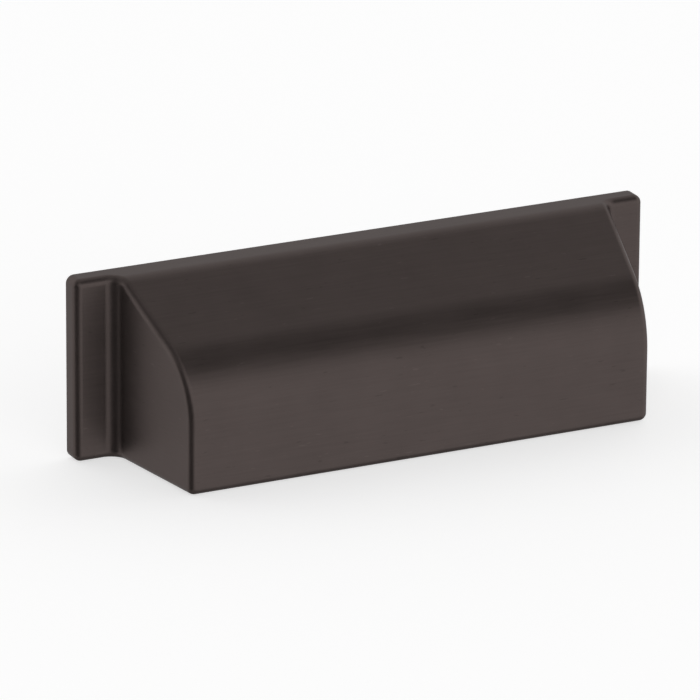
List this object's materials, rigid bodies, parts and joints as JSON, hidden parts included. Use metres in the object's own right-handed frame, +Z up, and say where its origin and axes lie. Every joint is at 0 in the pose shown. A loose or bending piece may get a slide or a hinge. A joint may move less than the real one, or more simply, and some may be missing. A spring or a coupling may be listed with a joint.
{
  "type": "cup pull",
  "caption": "Cup pull for a drawer: one casting with a flat back plate, short wings and a hollow hood with drafted ends and a rounded knee, in dark satin bronze.",
  "frame": {"origin": "middle of the bounding box in X and Y, at the bottom edges it stands on", "axes": "+X along the drawer front, +Y towards the drawer (the back plane faces +Y), +Z up"},
  "size_m": [0.138, 0.0338, 0.0415],
  "materials": {
    "dark_bronze": "dark oil-rubbed bronze plating over cast zinc, satin, finely brushed along the length"
  },
  "bodies": {
    "root": {"cup_pull_body": "dark_bronze"}
  },
  "joints": []
}
